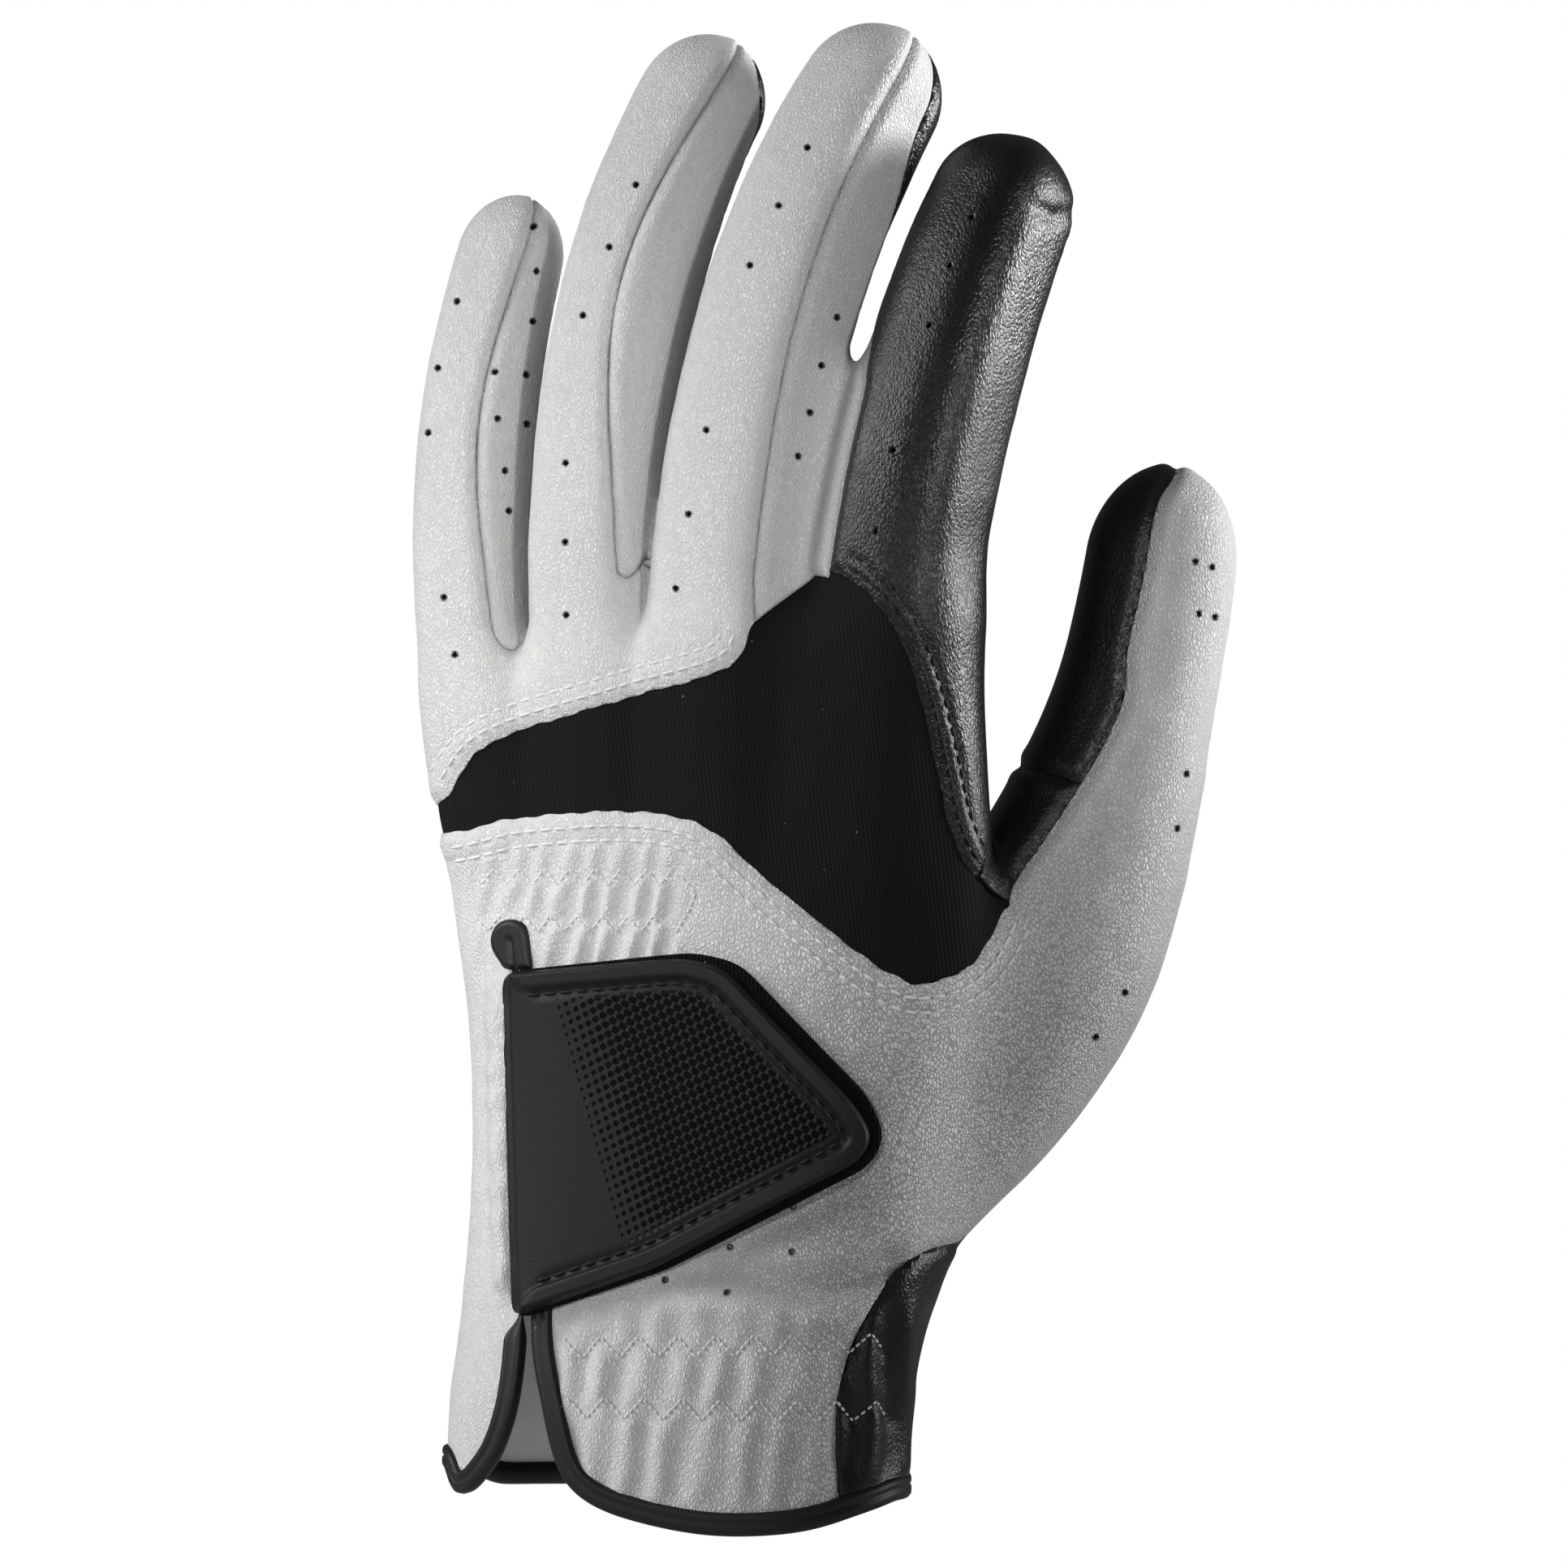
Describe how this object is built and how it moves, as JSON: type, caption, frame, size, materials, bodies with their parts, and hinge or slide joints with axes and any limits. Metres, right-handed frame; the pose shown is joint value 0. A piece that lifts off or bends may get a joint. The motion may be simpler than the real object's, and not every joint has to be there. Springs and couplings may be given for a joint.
{
  "type": "golf glove",
  "caption": "Left-hand golf glove filled as on a hand, with a knit insert over the knuckles, a gathered back, a bound wrist slit and a hinged hook-and-loop closure tab.",
  "frame": {"origin": "in the cuff opening, level with the lowest point of the hem, where the hand goes in", "axes": "+Z from the cuff to the fingertips, +X to the thumb side, -Y out of the back of the hand"},
  "size_m": [0.1268, 0.0504, 0.2317],
  "materials": {
    "white_leather": "fine pebbled grain, soft sheen",
    "black_leather": "smooth grain, satin",
    "knit": "fine ribbed stretch knit",
    "binding_tape": "folded tape",
    "loop_fabric": "napped loop",
    "hook_fabric": "fuzzy edge",
    "moulded_rubber": "satin, moulded dots",
    "elastic": "woven"
  },
  "bodies": {
    "glove": {"palm_panel": "black_leather", "knuckle_panel": "white_leather", "back_panel": "white_leather", "stretch_insert": "knit", "index_panel": "black_leather", "thumb_front": "black_leather", "thumb_gusset": "black_leather", "fourchette_little_ring": "white_leather", "fourchette_ring_middle": "white_leather", "fourchette_middle_index": "white_leather", "edge_binding": "binding_tape", "loop_patch": "loop_fabric", "tab_anchor": "black_leather", "back_elastic_upper": "elastic", "back_elastic_lower": "elastic", "cuff_elastic_upper": "elastic", "cuff_elastic_lower": "elastic"},
    "closure_tab": {"tab_hook_pad": "hook_fabric", "tab_cover": "moulded_rubber"}
  },
  "joints": [
    {"name": "tab_hinge", "type": "hinge", "parent": "glove", "child": "closure_tab", "pos_m": [-0.0298, -0.0045, 0.059], "axis": [0.03, -0.117, -0.9927], "range_deg": [0, 120]}
  ]
}
